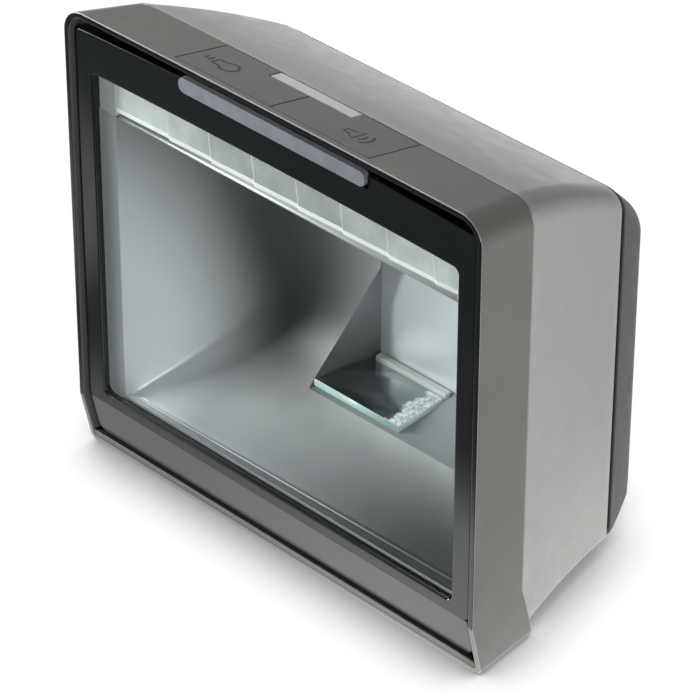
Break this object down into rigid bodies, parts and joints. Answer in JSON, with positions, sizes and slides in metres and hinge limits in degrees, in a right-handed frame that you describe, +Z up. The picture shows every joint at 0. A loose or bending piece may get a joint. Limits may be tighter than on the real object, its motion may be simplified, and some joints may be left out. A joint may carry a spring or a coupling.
{
  "type": "barcode scanner",
  "caption": "Upright presentation scanner for a checkout: a tapering housing with a large front window, long push buttons on top and a socketed rear hump.",
  "frame": {"origin": "On the counter plane, under the centre of the bounding box", "axes": "+Z up, the window faces -Y, +X to the right seen from the front"},
  "size_m": [0.152, 0.0966, 0.1421],
  "materials": {
    "board_screw_left": "plated steel",
    "board_screw_right": "plated steel",
    "button_board": "green solder mask",
    "button_carrier": "black moulding",
    "camera_board": "green solder mask",
    "camera_ribbon": "amber flexible circuit",
    "case_screw_1": "plated steel",
    "case_screw_2": "plated steel",
    "case_screw_3": "plated steel",
    "case_screw_4": "plated steel",
    "chassis_plate": "plain sheet",
    "chin_panel": "fine-textured moulded plastic",
    "data_jack": "black moulding",
    "diffuser_bar": "clear ribbed plastic",
    "foot_left": "soft black rubber",
    "foot_right": "soft black rubber",
    "front_bezel": "fine-textured moulded plastic",
    "front_lens": "coated glass",
    "front_light_bar": "translucent bluish light pipe",
    "illumination_led_1": "moulded lamp package",
    "illumination_led_2": "moulded lamp package",
    "illumination_led_3": "moulded lamp package",
    "illumination_led_4": "moulded lamp package",
    "image_sensor": "dark glossy package",
    "interface_board": "green solder mask",
    "interface_ribbon": "white flexible cable",
    "led_board": "white solder mask",
    "left_button": "fine-textured moulded plastic",
    "left_button_spring": "bright spring wire",
    "left_switch_body": "black moulding",
    "left_switch_plunger": "moulded plastic",
    "lens_barrel": "black moulding",
    "lens_holder": "black moulding",
    "lower_mirror": "plate glass mirror with green cut edges",
    "main_board": "green solder mask",
    "main_body": "satin silver coat",
    "mirror_retainer": "pale moulding",
    "optical_tray": "smooth pale grey moulding",
    "power_jack": "black moulding",
    "processor_shield": "tinned steel can",
    "rear_cover": "fine-textured moulded plastic",
    "rear_light_strip": "translucent white light pipe",
    "right_button": "fine-textured moulded plastic",
    "right_button_spring": "bright spring wire",
    "right_switch_body": "black moulding",
    "right_switch_plunger": "moulded plastic",
    "seam_gasket": "soft seal",
    "speaker": "black cone and can",
    "status_led_front": "moulded lamp package",
    "status_led_rear": "moulded lamp package",
    "usb_port": "black moulding",
    "window_frame": "polished black",
    "window_gasket": "soft foam seal",
    "window_glass": "clear flat glass"
  },
  "bodies": {
    "housing": {"board_screw_left": "board_screw_left", "board_screw_right": "board_screw_right", "button_board": "button_board", "button_carrier": "button_carrier", "camera_board": "camera_board", "camera_ribbon": "camera_ribbon", "case_screw_1": "case_screw_1", "case_screw_2": "case_screw_2", "case_screw_3": "case_screw_3", "case_screw_4": "case_screw_4", "chassis_plate": "chassis_plate", "chin_panel": "chin_panel", "data_jack": "data_jack", "diffuser_bar": "diffuser_bar", "foot_left": "foot_left", "foot_right": "foot_right", "front_bezel": "front_bezel", "front_lens": "front_lens", "front_light_bar": "front_light_bar", "illumination_led_1": "illumination_led_1", "illumination_led_2": "illumination_led_2", "illumination_led_3": "illumination_led_3", "illumination_led_4": "illumination_led_4", "image_sensor": "image_sensor", "interface_board": "interface_board", "interface_ribbon": "interface_ribbon", "led_board": "led_board", "left_button_spring": "left_button_spring", "left_switch_body": "left_switch_body", "lens_barrel": "lens_barrel", "lens_holder": "lens_holder", "lower_mirror": "lower_mirror", "main_board": "main_board", "main_body": "main_body", "mirror_retainer": "mirror_retainer", "optical_tray": "optical_tray", "power_jack": "power_jack", "processor_shield": "processor_shield", "rear_cover": "rear_cover", "rear_light_strip": "rear_light_strip", "right_button_spring": "right_button_spring", "right_switch_body": "right_switch_body", "seam_gasket": "seam_gasket", "speaker": "speaker", "status_led_front": "status_led_front", "status_led_rear": "status_led_rear", "usb_port": "usb_port", "window_frame": "window_frame", "window_gasket": "window_gasket", "window_glass": "window_glass"},
    "left_cap": {"left_button": "left_button"},
    "left_plunger": {"left_switch_plunger": "left_switch_plunger"},
    "right_cap": {"right_button": "right_button"},
    "right_plunger": {"right_switch_plunger": "right_switch_plunger"}
  },
  "joints": [
    {"name": "left_button_press", "type": "slide", "parent": "housing", "child": "left_cap", "axis": [0, 0, -1], "range_m": [0, 0.0008], "stiffness_N_per_m": 700, "springref_m": -0.001, "deforming": ["left_button_spring"]},
    {"name": "left_switch_press", "type": "slide", "parent": "housing", "child": "left_plunger", "axis": [0, 0, -1], "range_m": [0, 0.0004]},
    {"name": "right_button_press", "type": "slide", "parent": "housing", "child": "right_cap", "axis": [0, 0, -1], "range_m": [0, 0.0008], "stiffness_N_per_m": 700, "springref_m": -0.001, "deforming": ["right_button_spring"]},
    {"name": "right_switch_press", "type": "slide", "parent": "housing", "child": "right_plunger", "axis": [0, 0, -1], "range_m": [0, 0.0004]}
  ],
  "couplings": [
    {"joint": "left_switch_press", "follows": "left_button_press", "ratio": 0.5},
    {"joint": "right_switch_press", "follows": "right_button_press", "ratio": 0.5}
  ]
}
